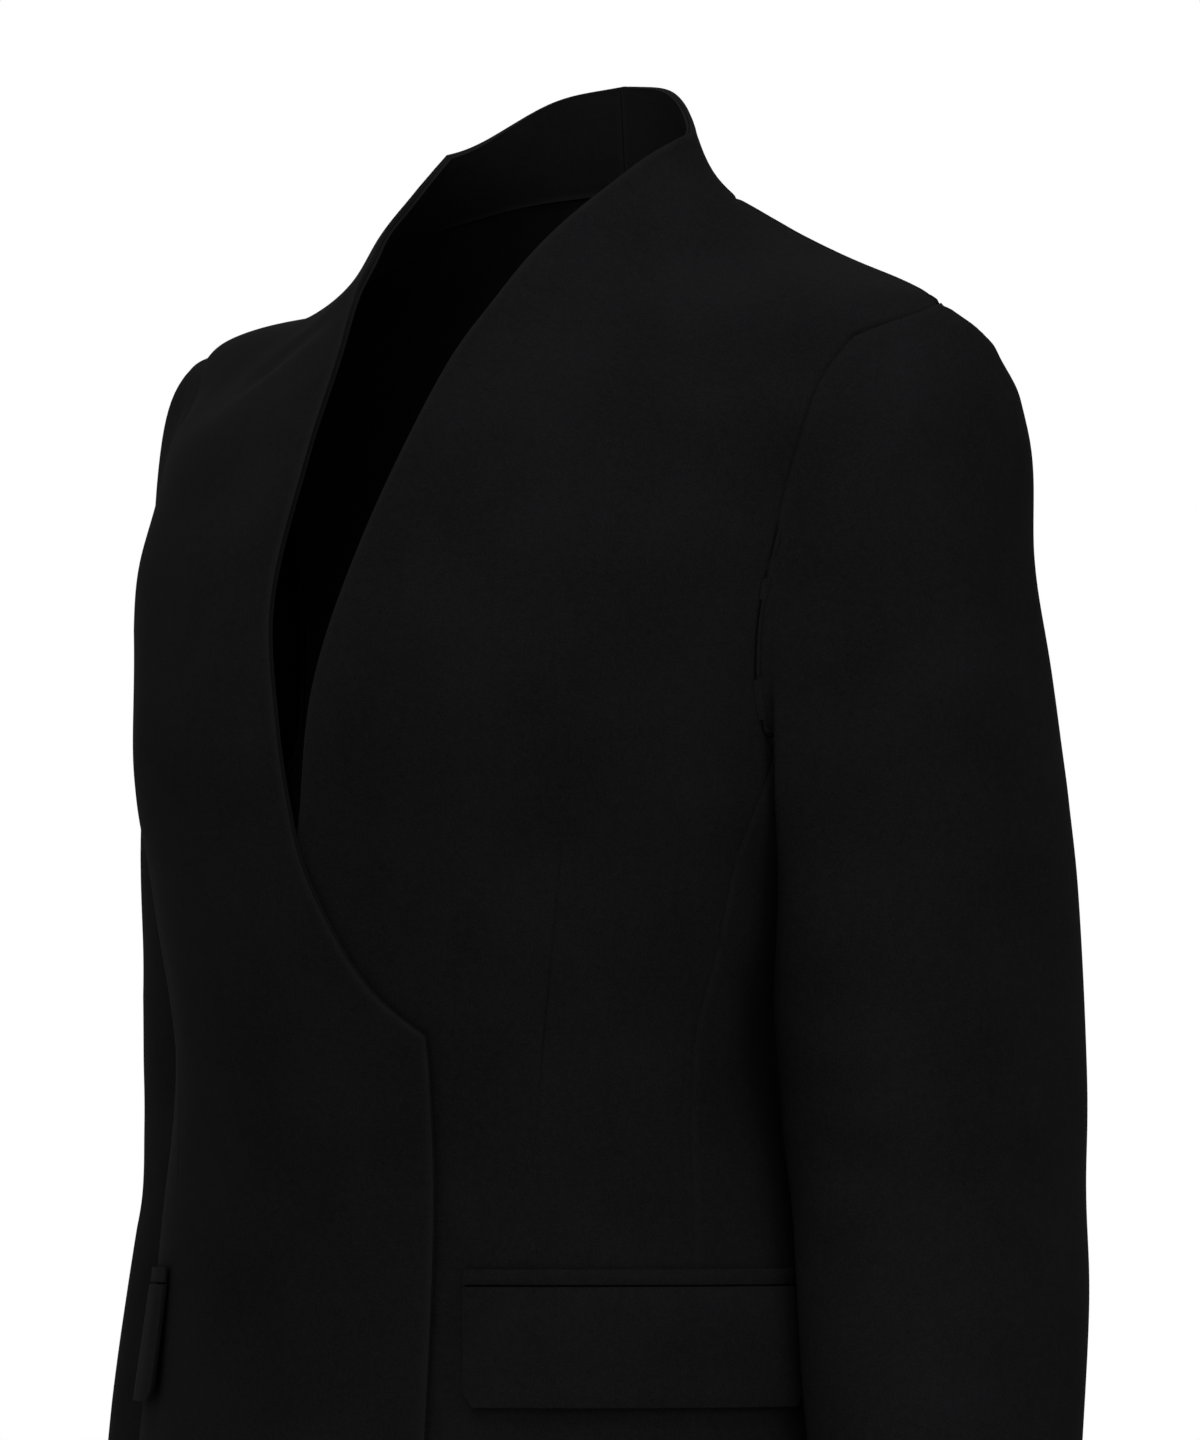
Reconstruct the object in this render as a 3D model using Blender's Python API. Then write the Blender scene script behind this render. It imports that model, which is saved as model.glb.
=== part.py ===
"""Collarless wrap-front blazer as worn: the pieces that are cut and sewn, each a thin wall of cloth.

Tables are in millimetres and degrees, the scene is in metres. X points to the wearer's left, -Y is the
way the front faces and Z is up. The origin lies between the shoulders, level with the neck ends of the
shoulder seams.

A place on the body is an angle and a height. The angle runs from 0 at the centre front over 90 at the
wearer's left side to 180 at the centre back. Every panel is worked out for the left and mirrored for the
right.
"""

import bmesh
import bpy
import numpy as np

MM = 0.001

# The cloth: outer cloth with its interfacing, the facing under it, and the room between pieces.
CLOTH_WALL = 1.6
FACING_WALL = 1.2
SEAM_GAP = 0.3
SLEEVE_SEAM_GAP = 0.5
LAYER_GAP = 0.45
FACING_INSIDE_EDGE = 0.3
FACING_ABOVE_HEM = 1.5

# The right front laps over the left by this much past the centre front, and is lifted to lie on top of it.
LAP_REACH = 57.0
LAP_LIFT = CLOTH_WALL + FACING_WALL + 2 * LAYER_GAP
LAP_FULL_ANGLE = 29.0
LAP_DONE_ANGLE = 52.0
LAP_TOP_HEIGHT = -190.0
LAP_FULL_HEIGHT = -262.0

# How finely the pieces are divided.
UPPER_ROWS = 17
NECK_ROWS = 7
STAND_COLUMNS = 3
SHOULDER_COLUMNS = 9
FRONT_COLUMNS = STAND_COLUMNS + SHOULDER_COLUMNS
FACING_COLUMNS = 4
SIDE_COLUMNS = 5
SLEEVE_ROWS = 24
FLAP_COLUMNS = 9

# How finely lines are followed and angles are searched.
STEPS_A_PLACE = 60
STEPS_A_ROW = 200
SEARCH_STEP = 0.1
NUDGE = 0.1
FRONT_SEARCHED_TO = 80.0
POCKET_SEARCHED_TO = 120.0

# Level sections through the body of the jacket, from the collar's top down to the hem. Fullness is how
# far the section bulges past an ellipse halfway round its front and its back.
BODY_SECTIONS = np.array(
    [
        # height, half width, side y, front y, back y, front full, back full
        (60, 55, 52, 40, 95, 1.00, 1.00),
        (38, 63, 52, 27, 97, 1.00, 1.00),
        (20, 69.5, 54, 12, 98, 1.00, 1.00),
        (8, 77, 58, 2, 100, 1.00, 1.00),
        (0, 86, 63, -8, 102, 1.03, 1.00),
        (-8, 98, 68, -18, 104, 0.99, 0.98),
        (-18, 113, 71, -31, 107, 0.91, 0.96),
        (-29, 138, 73, -43, 110, 0.83, 0.98),
        (-37, 166, 71, -48, 112, 0.79, 0.98),
        (-44, 187, 65, -51, 113, 0.78, 0.94),
        (-49, 198, 59, -53, 114, 0.79, 0.95),
        (-56, 200, 56, -58, 115, 0.82, 0.98),
        (-66, 197, 54, -64, 116, 0.85, 1.02),
        (-81, 194, 52, -72, 117, 0.94, 1.06),
        (-98, 192, 50, -81, 117, 1.01, 1.10),
        (-127, 188, 47, -96, 118, 1.02, 1.12),
        (-153, 186, 42, -109, 117, 1.03, 1.12),
        (-196, 177, 32, -123, 112, 1.02, 1.11),
        (-232, 166, 21, -126, 106, 1.03, 1.10),
        (-262, 162, 14, -123, 100, 1.03, 1.08),
        (-280, 155, 10, -122, 95, 1.03, 1.06),
        (-308, 150, 6, -119, 92, 1.03, 1.06),
        (-344, 141, 2, -115, 86, 1.03, 1.07),
        (-360, 139, 0, -113, 85, 1.03, 1.08),
        (-391, 143, 0, -109, 86, 1.03, 1.07),
        (-427, 153, 2, -106, 90, 1.03, 1.05),
        (-456, 157, 4, -107, 93, 1.03, 1.03),
        (-491, 162, 6, -109, 101, 1.03, 1.03),
        (-527, 167, 7, -112, 108, 1.03, 1.03),
        (-590, 175, 8, -115, 113, 1.03, 1.03),
        (-650, 181, 8, -118, 115, 1.03, 1.03),
    ],
    dtype=float,
)

# Fullness made by the darts and the back's shaping: it lies at this x on both sides.
SHAPED_PLACES = np.array(
    [
        # x, height, spread across, spread up, how far out, front (-1) or back (1)
        (96, -236, 44, 46, 5.0, -1),
        (84, -128, 48, 62, 4.0, 1),
    ],
    dtype=float,
)

# The finished edge: from the centre back round the collar, then down the V and along the lap to its
# corner. The left front lies under the right one and is drawn a little nearer to the centre.
COLLAR_EDGE = np.array([(180, 58), (150, 55), (125, 43), (108, 33), (90, 29)], dtype=float)
FREE_EDGE = np.array(
    [
        # height, the right front's angle, the left front's angle
        (29, 90, 90),
        (24, 73, 69),
        (13, 58.6, 52),
        (4, 47.0, 41.4),
        (-8, 38.0, 31.1),
        (-19, 29.5, 25.0),
        (-31, 20.5, 18.8),
        (-42, 13.5, 14.2),
        (-53, 10.2, 11.3),
        (-75, 8.8, 9.6),
        (-99, 8.5, 8.4),
        (-122, 7.9, 7.3),
        (-146, 7.4, 6.4),
        (-171, 6.9, 5.4),
        (-195, 5.5, 4.0),
        (-214, 3.8, 2.7),
        (-234, 2.4, 2.0),
        (-255, 1.3, 0.9),
        (-279, -0.4, -0.7),
        (-294, -2.5, -3.0),
        (-311, -6.0, -6.3),
        (-325, -9.2, -9.4),
        (-339, -13.8, -13.9),
        (-348, -18.2, -18.2),
        (-353, -20.9, -20.9),
        (-357, -23.6, -23.6),
        (-363, -24.8, -24.8),
    ],
    dtype=float,
)
LAP_CORNER_HEIGHT = -363.0

# Where the collar meets the back, and the armhole from the shoulder's tip forward and backward to the
# side panel.
NECK_SEAM = np.array([(90, 0), (110, 3), (140, 9), (180, 12)], dtype=float)
SHOULDER_TIP = (90, -49)
ARMHOLE_FRONT = np.array(
    [
        (90, -49),
        (74, -64),
        (68.7, -81),
        (66.0, -98),
        (65.6, -127),
        (65.7, -153),
        (66.5, -175),
        (69.0, -200),
        (74.0, -224),
        (80.0, -239),
    ],
    dtype=float,
)
ARMHOLE_BACK = np.array(
    [
        (90, -49),
        (102, -66),
        (110, -85),
        (116, -108),
        (120, -135),
        (121, -165),
        (120, -195),
        (118, -222),
        (114, -240),
    ],
    dtype=float,
)
ARMHOLE_BASE = np.array([(80, -239), (86, -245), (96, -249), (106, -247), (114, -240)], dtype=float)
UNDERARM = np.concatenate([ARMHOLE_FRONT[5:-1], ARMHOLE_BASE, ARMHOLE_BACK[-2:-4:-1]])

# The side panel's two seams.
SIDE_SEAMS = np.array(
    [
        # height, front seam's angle, back seam's angle
        (-240, 80, 114),
        (-262, 78, 116),
        (-289, 77.5, 118),
        (-325, 77.5, 120),
        (-363, 76, 122),
        (-417, 69.5, 121),
        (-485, 65, 119),
        (-560, 63.5, 118),
        (-650, 62, 117),
    ],
    dtype=float,
)
LOWER_HEIGHTS = (
    -262, -280, -296, -311, -325, -338, -348, -357, -363, -378,
    -398, -420, -446, -474, -504, -536, -572, -610, -650,
)  # fmt: skip

# The left sleeve's rings below the armhole. A ring slopes from its outer height to its inner one, and its
# middle lies at one y outside and another next to the body. Out and in are its half widths away from and
# towards the body, front and back its half depths, flat how straight it runs from its outside to its
# front edge, and turn swings its front edge towards the body.
SLEEVE_RINGS = np.array(
    [
        # outer height, inner height, centre x, outer y, inner y, out, in, front, back, flat, turn
        (-62, -252, 183, 61, 27, 37, 18, 67, 59, 0.45, 0),
        (-88, -258, 182, 59, 29, 43, 18, 68, 66, 0.62, 2),
        (-128, -267, 181, 58, 34, 49, 19, 72, 71, 0.72, 6),
        (-182, -279, 182, 58, 43, 48, 22, 75, 74, 0.72, 11),
        (-240, -294, 181, 61, 54, 50, 29, 72, 76, 0.3, 18),
        (-300, -314, 182, 64, 62, 50, 38, 71, 76, 0.1, 20),
        (-360, -362, 184, 68, 68, 49, 45, 71, 74, 0.0, 20),
        (-415, -415, 188, 70, 70, 48, 46, 70, 70, 0.0, 20),
        (-470, -470, 193, 65, 65, 48, 46, 69, 69, 0.0, 19),
        (-525, -525, 199, 58, 58, 46, 44, 65, 65, 0.0, 18),
        (-580, -580, 204, 54, 54, 43, 42, 60, 60, 0.0, 17),
        (-632, -632, 207, 51, 51, 40, 40, 56, 56, 0.0, 16),
    ],
    dtype=float,
)
SLEEVE_GIRTH_RADIUS = 62.0
SLEEVE_ROW_CROWDING = 0.28
UNDER_SLEEVE_FROM = 147.0
UNDER_SLEEVE_TO = 244.0

# The room between a sleeve and the body: it grows downwards from the armhole, and again at the pocket.
SLEEVE_CLEARANCE = 2.5
SLEEVE_CLEARANCE_AT_POCKET = 5.6
CLEARANCE_GROWTH = 0.12
POCKET_CLEARANCE_FROM = -400.0
POCKET_CLEARANCE_FULL = -440.0

# Soft folds: where each one's middle lies, which way it runs, and its size. Side 1 is left, -1 is right.
BODY_FOLDS = np.array(
    [
        # side, angle, height, degrees up from level, half length, half width, depth out
        (-1, 78, -26, 20, 46, 30, -9.0),
        (-1, 58, -12, 30, 40, 24, -2.5),
        (1, 98, -22, 20, 60, 34, 4.0),
        (-1, 40, -75, -48, 60, 24, -3.0),
        (1, 45, -80, -55, 70, 26, -1.5),
    ],
    dtype=float,
)
SLEEVE_FOLD_SLANT = 0.35
SLEEVE_FOLDS = np.array(
    [
        # side, turn round the sleeve, height, half length, half width, depth out
        (1, 20, -57, 70, 16, 0.8),
        (1, 325, -112, 45, 22, 3.0),
        (1, 325, -157, 45, 26, -4.5),
        (1, 60, -398, 44, 14, -2.5),
        (1, 110, -372, 40, 12, -2.0),
        (1, 300, -420, 50, 16, -2.5),
        (-1, 30, -60, 70, 16, 1.5),
        (-1, 50, -135, 60, 45, -5.5),
        (-1, 60, -402, 44, 14, -2.5),
        (-1, 300, -424, 50, 16, -2.5),
    ],
    dtype=float,
)

# Pocket: a flap below one narrow jet, both on the outside of the front and running over the side panel's
# seam. It starts this far from the centre, a little farther round on the right front, which is drawn over
# the left.
POCKET_STARTS = {1: 70.0, -1: 100.0}
POCKET_LENGTH = 150.0
FLAP_TOP_HEIGHT = -461.0
FLAP_DROP = 50.0
FLAP_CORNER = 6.0
FLAP_CORNER_INSET = 4.2
FLAP_LEAN = 3.5
FLAP_WALL = 2.0
FLAP_STAND_OFF = (0.7, 2.4)
JET_HEIGHT = 6.5
JET_GAP = 0.8
JET_WALL = 1.3
JET_STAND_OFF = 0.9

BLACK_CREPE = (0.0065, 0.0065, 0.0072, 1.0)
BLACK_FACING = (0.0055, 0.0055, 0.0062, 1.0)
CLOTH_ROUGHNESS = 0.88


def smooth(at, stations, values):
    """A monotone curve through the values at their stations, which may rise or fall."""
    if stations[0] > stations[-1]:
        stations, values = stations[::-1], values[::-1]
    step = np.diff(stations)
    rise = np.diff(values) / step
    product = rise[:-1] * rise[1:]
    total = rise[:-1] + rise[1:]
    bend = np.where(product > 0, 2 * product / np.where(total == 0, 1, total), 0.0)
    slope = np.concatenate([[rise[0]], bend, [rise[-1]]])
    at = np.clip(at, stations[0], stations[-1])
    index = np.clip(np.searchsorted(stations, at, side="right") - 1, 0, len(step) - 1)
    part = (at - stations[index]) / step[index]
    start, end = values[index], values[index + 1]
    out, into = slope[index] * step[index], slope[index + 1] * step[index]
    curve = start * (1 + 2 * part) * (1 - part) ** 2 + end * part**2 * (3 - 2 * part)
    return curve + out * part * (1 - part) ** 2 - into * part**2 * (1 - part)


def fade(value, start, end):
    """0 at the start, 1 at the end, with no corner at either."""
    part = np.clip((value - start) / (end - start), 0.0, 1.0)
    return part * part * (3 - 2 * part)


def unit(vectors):
    return vectors / np.maximum(np.linalg.norm(vectors, axis=-1, keepdims=True), 1e-9)


def bare_body(angle, height):
    """The body's outer face before folds, for the wearer's left."""
    angle, height = np.broadcast_arrays(np.asarray(angle, float), np.asarray(height, float))
    half, side, front, back, front_full, back_full = (
        smooth(height, BODY_SECTIONS[:, 0], BODY_SECTIONS[:, column]) for column in range(1, 7)
    )
    turn = np.radians(angle)
    ahead = np.cos(turn) > 0
    reach = 1 + (np.where(ahead, front_full, back_full) - 1) * np.sin(2 * turn) ** 2
    depth = np.where(ahead, side - front, back - side)
    x = half * np.sin(turn) * reach
    y = side - depth * np.cos(turn) * reach
    for place_x, place_height, across, up, out, facing in SHAPED_PLACES:
        spread = np.exp(-(((abs(x) - place_x) / across) ** 2) - ((height - place_height) / up) ** 2)
        y = y + facing * out * spread * (ahead == (facing < 0))
    return np.stack([x, y, height], axis=-1)


def body_frame(angle, height):
    """Unit vectors round the body, up it and out of it."""
    around = unit(bare_body(angle + NUDGE, height) - bare_body(angle - NUDGE, height))
    up = unit(bare_body(angle, height + NUDGE) - bare_body(angle, height - NUDGE))
    return around, up, unit(np.cross(around, up))


def lap_lift(side, angle, height):
    """How far the right front stands out so that it clears the left one under it."""
    if side > 0:
        return np.zeros(np.shape(angle))
    below = fade(height, LAP_TOP_HEIGHT, LAP_FULL_HEIGHT)
    return LAP_LIFT * below * fade(angle, LAP_DONE_ANGLE, LAP_FULL_ANGLE)


def body_cloth(side, angle, height, out):
    """Points of a cloth face this far out from the body, folds included. Left is side 1, right is -1."""
    angle, height = np.asarray(angle, float), np.asarray(height, float)
    place = bare_body(angle, height)
    away = body_frame(angle, height)[2]
    for fold_side, fold_angle, fold_height, slant, length, width, depth in BODY_FOLDS:
        if fold_side == side:
            middle = bare_body(fold_angle, fold_height)
            around, up, _ = body_frame(np.array(fold_angle), np.array(fold_height))
            run = around * np.cos(np.radians(slant)) + up * np.sin(np.radians(slant))
            offset = bare_body(angle, height) - middle
            along = offset @ run
            across = np.sqrt(np.maximum((offset**2).sum(axis=-1) - along**2, 0.0))
            out = out + depth * np.exp(-((along / length) ** 2) - (across / width) ** 2)
    place = place + away * (out + lap_lift(side, angle, height))[..., None]
    return place * (side, 1, 1)


def evenly(angle, height, count):
    """The line through these dense places, divided into this many equal lengths."""
    steps = np.linalg.norm(np.diff(bare_body(angle, height), axis=0), axis=1)
    length = np.concatenate([[0.0], np.cumsum(steps)])
    wanted = np.linspace(0.0, length[-1], count + 1)
    return np.stack([np.interp(wanted, length, angle), np.interp(wanted, length, height)], axis=-1)


def along(places, count):
    """A smooth line through a table of places, divided evenly."""
    steps = np.linalg.norm(np.diff(bare_body(places[:, 0], places[:, 1]), axis=0), axis=1)
    length = np.concatenate([[0.0], np.cumsum(steps)])
    fine = np.linspace(0.0, length[-1], STEPS_A_PLACE * len(places))
    return evenly(smooth(fine, length, places[:, 0]), smooth(fine, length, places[:, 1]), count)


def across(start, end, count):
    """A row from one place to another, divided evenly."""
    part = np.linspace(0.0, 1.0, STEPS_A_ROW)
    return evenly(start[0] + (end[0] - start[0]) * part, start[1] + (end[1] - start[1]) * part, count)


def angle_at(reach, height):
    """The angle in front at which the body is this far from the centre."""
    angles = np.arange(0.0, FRONT_SEARCHED_TO, SEARCH_STEP)
    return float(np.interp(reach, bare_body(angles, height)[:, 0], angles))


def free_edge(side):
    """This front's finished edge as places, from the shoulder seam down."""
    return FREE_EDGE[:, (1, 0)] if side < 0 else FREE_EDGE[:, (2, 0)]


def edge_angle(side, height):
    if height <= LAP_CORNER_HEIGHT:
        return -angle_at(LAP_REACH, height)
    edge = free_edge(side)
    return float(smooth(height, edge[:, 1], edge[:, 0]))


def seam_angles(height):
    return [float(smooth(height, SIDE_SEAMS[:, 0], SIDE_SEAMS[:, column])) for column in (1, 2)]


def down_to(places, height, angle):
    """A line of places, carried on to the first row below the armhole."""
    return np.concatenate([places, [(angle, height)]])


def front_grid(side):
    """Rows of places from the free edge to the armhole and the side seam, the shoulder seam first."""
    first_lower = LOWER_HEIGHTS[0]
    edge = free_edge(side)
    edge = down_to(edge[edge[:, 1] > first_lower], first_lower, edge_angle(side, first_lower))
    start = along(edge, UPPER_ROWS)
    armhole = along(ARMHOLE_FRONT, UPPER_ROWS - 1)
    end = down_to(armhole, first_lower, seam_angles(first_lower)[0])
    collar_side = across(edge[0], NECK_SEAM[0], STAND_COLUMNS)
    shoulder = across(NECK_SEAM[0], SHOULDER_TIP, SHOULDER_COLUMNS)
    rows = [np.concatenate([collar_side, shoulder[1:]])]
    rows += [across(start[i], end[i], FRONT_COLUMNS) for i in range(1, UPPER_ROWS + 1)]
    for height in LOWER_HEIGHTS[1:]:
        from_angle, to_angle = edge_angle(side, height), seam_angles(height)[0]
        rows.append(across((from_angle, height), (to_angle, height), FRONT_COLUMNS))
    return np.array(rows)


def collar_grid():
    """The grown-on stand from the shoulder round to the centre back, in rows from the top edge down."""
    angles = np.linspace(90.0, 180.0, NECK_ROWS + 1)
    top = smooth(angles, COLLAR_EDGE[:, 0], COLLAR_EDGE[:, 1])
    base = smooth(angles, NECK_SEAM[:, 0], NECK_SEAM[:, 1])
    side = across((90, top[0]), (90, base[0]), STAND_COLUMNS)[:, 1]
    part = (side - base[0]) / (top[0] - base[0])
    heights = base + (top - base) * part[:, None]
    return np.stack([np.broadcast_to(angles, heights.shape), heights], axis=-1)


def back_grid():
    """Rows of places from the neck and centre back to the armhole and side seam, from the shoulder down."""
    first_lower = LOWER_HEIGHTS[0]
    neck = collar_grid()[-1]
    centre = across(NECK_SEAM[-1], (180, first_lower), UPPER_ROWS - NECK_ROWS)
    start = np.concatenate([neck, centre[1:]])
    armhole = along(ARMHOLE_BACK, UPPER_ROWS - 1)
    end = down_to(armhole, first_lower, seam_angles(first_lower)[1])
    rows = [across(NECK_SEAM[0], SHOULDER_TIP, SHOULDER_COLUMNS)]
    rows += [across(start[i], end[i], SHOULDER_COLUMNS) for i in range(1, UPPER_ROWS + 1)]
    for height in LOWER_HEIGHTS[1:]:
        rows.append(across((180, height), (seam_angles(height)[1], height), SHOULDER_COLUMNS))
    return np.array(rows)


def side_grid():
    """Rows of places from the front seam to the back one, the bottom of the armhole first."""
    rows = [along(ARMHOLE_BASE, SIDE_COLUMNS)]
    for height in LOWER_HEIGHTS:
        front_angle, back_angle = seam_angles(height)
        rows.append(across((front_angle, height), (back_angle, height), SIDE_COLUMNS))
    return np.array(rows)


def faces_of(index):
    """Triangles between the rows and columns of point numbers, split the same way on every layer."""
    start, below, beyond, beside = index[:-1, :-1], index[1:, :-1], index[1:, 1:], index[:-1, 1:]
    corners = (start, below, beyond, start, beyond, beside)
    return np.stack(corners, axis=-1).reshape(-1, 3)


def draw_in(points, index, neighbour, distance=SEAM_GAP / 2):
    """How each point moves to lie this far towards its neighbour, half a seam's gap if not told."""
    return unit(points[neighbour] - points[index]) * distance


def cloth_material(name, colour):
    material = bpy.data.materials.new(name)
    material.use_nodes = True
    shader = material.node_tree.nodes["Principled BSDF"]
    shader.inputs["Base Color"].default_value = colour
    shader.inputs["Roughness"].default_value = CLOTH_ROUGHNESS
    shader.inputs["Metallic"].default_value = 0.0
    material.diffuse_color = colour
    return material


def sew_wall(name, outer, inner, faces, turned, material):
    """A closed wall of cloth: its outer face, its inner face and the cut edges between them."""
    faces = faces[:, ::-1] if turned else faces
    count = len(outer)
    edges = {}
    for face in faces.tolist():
        for start, end in zip(face, face[1:] + face[:1], strict=True):
            if edges.pop((end, start), None) is None:
                edges[(start, end)] = True
    mesh = bmesh.new()
    points = [mesh.verts.new(point) for point in (np.concatenate([outer, inner]) * MM).tolist()]
    for face in faces.tolist():
        mesh.faces.new([points[i] for i in face])
        mesh.faces.new([points[i + count] for i in reversed(face)])
    for start, end in edges:
        # Each stretch of the cut edge is split from the lower-numbered of its two outer points.
        ring = (end, start, start + count, end + count)
        turn = 1 if start < end else 0
        ring = ring[turn:] + ring[:turn]
        mesh.faces.new([points[i] for i in ring[:3]])
        mesh.faces.new([points[i] for i in (ring[0], ring[2], ring[3])])
    unused = [point for point in mesh.verts if not point.link_faces]
    bmesh.ops.delete(mesh, geom=unused, context="VERTS")
    data = bpy.data.meshes.new(name)
    mesh.to_mesh(data)
    mesh.free()
    data.materials.append(material)
    piece = bpy.data.objects.new(name, data)
    blazer.objects.link(piece)
    piece.parent = held_here
    return piece


def make_front(side, name):
    """A front with its stand, and the facing made from the same points and laid inside it."""
    main, collar = front_grid(side), collar_grid()
    places = np.concatenate([main.reshape(-1, 2), collar[:, 1:].reshape(-1, 2)])
    body = np.arange(main[..., 0].size).reshape(main.shape[:2])
    extra = np.arange(collar[:, 1:, 0].size).reshape(STAND_COLUMNS + 1, NECK_ROWS) + body.size
    stand = np.concatenate([body[0, : STAND_COLUMNS + 1, None], extra], axis=1)

    outer = body_cloth(side, places[:, 0], places[:, 1], 0.0)
    shift = np.zeros_like(outer)
    shift[body[0, STAND_COLUMNS:]] += draw_in(outer, body[0, STAND_COLUMNS:], body[1, STAND_COLUMNS:])
    shift[body[:, -1]] += draw_in(outer, body[:, -1], body[:, -2])
    shift[stand[-1]] += draw_in(outer, stand[-1], stand[-2])
    shift[stand[:, -1]] += draw_in(outer, stand[:, -1], stand[:, -2])
    inner = body_cloth(side, places[:, 0], places[:, 1], -CLOTH_WALL)
    faces = np.concatenate([faces_of(body), faces_of(stand)])
    sew_wall("front_" + name, outer + shift, inner + shift, faces, side < 0, crepe)

    under = -CLOTH_WALL - LAYER_GAP
    shift[body[:, 0]] += draw_in(outer, body[:, 0], body[:, 1], FACING_INSIDE_EDGE)
    shift[stand[0]] += draw_in(outer, stand[0], stand[1], FACING_INSIDE_EDGE)
    shift[body[-1]] += draw_in(outer, body[-1], body[-2], FACING_ABOVE_HEM)
    outer = body_cloth(side, places[:, 0], places[:, 1], under)
    inner = body_cloth(side, places[:, 0], places[:, 1], under - FACING_WALL)
    faces = np.concatenate([faces_of(body[:, : FACING_COLUMNS + 1]), faces_of(stand)])
    sew_wall("facing_" + name, outer + shift, inner + shift, faces, side < 0, facing_cloth)


def make_back(side, name):
    grid = back_grid()
    index = np.arange(grid[..., 0].size).reshape(grid.shape[:2])
    places = grid.reshape(-1, 2)
    outer = body_cloth(side, places[:, 0], places[:, 1], 0.0)
    inner = body_cloth(side, places[:, 0], places[:, 1], -CLOTH_WALL)
    shift = np.zeros_like(outer)
    shift[index[0]] += draw_in(outer, index[0], index[1])
    shift[index[:, -1]] += draw_in(outer, index[:, -1], index[:, -2])
    shift[index[:, 0]] += draw_in(outer, index[:, 0], index[:, 1])
    sew_wall("back_" + name, outer + shift, inner + shift, faces_of(index), side > 0, crepe)


def make_side(side, name):
    grid = side_grid()
    index = np.arange(grid[..., 0].size).reshape(grid.shape[:2])
    places = grid.reshape(-1, 2)
    outer = body_cloth(side, places[:, 0], places[:, 1], 0.0)
    inner = body_cloth(side, places[:, 0], places[:, 1], -CLOTH_WALL)
    shift = np.zeros_like(outer)
    shift[index[0]] += draw_in(outer, index[0], index[1])
    shift[index[:, 0]] += draw_in(outer, index[:, 0], index[:, 1])
    shift[index[:, -1]] += draw_in(outer, index[:, -1], index[:, -2])
    sew_wall("side_" + name, outer + shift, inner + shift, faces_of(index), side < 0, crepe)


def armhole_ring(side):
    """The armhole's points from the shoulder's tip down the front and up the back, with the way out of
    the panels and the way under them at each."""
    front, base, back = front_grid(side)[:UPPER_ROWS], side_grid()[:2], back_grid()[:UPPER_ROWS]
    ring = np.concatenate([front[:, -1], base[0, 1:-1], back[:0:-1, -1]])
    inside = np.concatenate([front[:, -2], base[1, 1:-1], back[:0:-1, -2]])
    seam = body_cloth(side, ring[:, 0], ring[:, 1], 0.0)
    away = unit(seam - body_cloth(side, inside[:, 0], inside[:, 1], 0.0))
    under = unit(body_cloth(side, ring[:, 0], ring[:, 1], -CLOTH_WALL) - seam)
    return seam + away * SEAM_GAP / 2, away, under


def ring_turns(seam):
    """How far round the sleeve each armhole point lies: 0 at the shoulder's tip, 90 in front, 180 below."""
    steps = np.linalg.norm(np.diff(seam, axis=0, append=seam[:1]), axis=1)
    length = np.concatenate([[0.0], np.cumsum(steps)])
    bottom = UPPER_ROWS - 1 + SIDE_COLUMNS // 2
    lowest = (length[bottom] + length[bottom + 1]) / 2
    down = 180 * length[:-1] / lowest
    up = 180 + 180 * (length[:-1] - lowest) / (length[-1] - lowest)
    return np.where(length[:-1] < lowest, down, up)


def sleeve_ring(turns, row):
    """Points of one of the left sleeve's rings."""
    outer_height, inner_height, centre_x, outer_y, inner_y, out, into, front, back, flat, swing = row
    turn, swing = np.radians(turns), np.radians(swing)
    centre_y = (outer_y + inner_y) / 2 + (outer_y - inner_y) / 2 * np.cos(turn)
    away = np.where(np.cos(turn) > 0, out, into) * np.cos(turn)
    flat = flat * (np.cos(turn) > 0) * (np.sin(turn) > 0)
    bow = (1 - flat) * np.sin(turn) + flat * (1 - np.cos(turn))
    ahead = np.where(np.sin(turn) > 0, front, back) * bow
    x = centre_x + away * np.cos(swing) - ahead * np.sin(swing)
    y = centre_y - away * np.sin(swing) - ahead * np.cos(swing)
    height = (outer_height + inner_height) / 2 + (outer_height - inner_height) / 2 * np.cos(turn)
    return np.stack([x, y, height], axis=-1)


def clear_of_body(points):
    """Presses the sleeve out to where it just clears the body beside it, from the armhole down."""
    columns = (BODY_SECTIONS[:, index] for index in range(1, 5))
    half, side, front, back = (smooth(points[..., 2], BODY_SECTIONS[:, 0], column) for column in columns)
    depth = np.where(points[..., 1] < side, side - front, back - side)
    angle = np.degrees(np.arctan2(points[..., 0] / half, (side - points[..., 1]) / depth))
    nearest = bare_body(angle, points[..., 2])
    offset = points[..., :2] - nearest[..., :2]
    outward = unit(body_frame(angle, points[..., 2])[2][..., :2])
    room = (offset * outward).sum(axis=-1)
    below = smooth(angle, UNDERARM[:, 0], UNDERARM[:, 1]) - points[..., 2]
    at_pocket = fade(points[..., 2], POCKET_CLEARANCE_FROM, POCKET_CLEARANCE_FULL)
    clearance = SLEEVE_CLEARANCE + (SLEEVE_CLEARANCE_AT_POCKET - SLEEVE_CLEARANCE) * at_pocket
    wanted = np.minimum(2 * SEAM_GAP + CLEARANCE_GROWTH * below, clearance)
    push = np.where(below > 0, np.maximum(wanted - room, 0.0), 0.0)
    moved = points.copy()
    moved[..., :2] += outward * push[..., None]
    return moved


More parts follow.
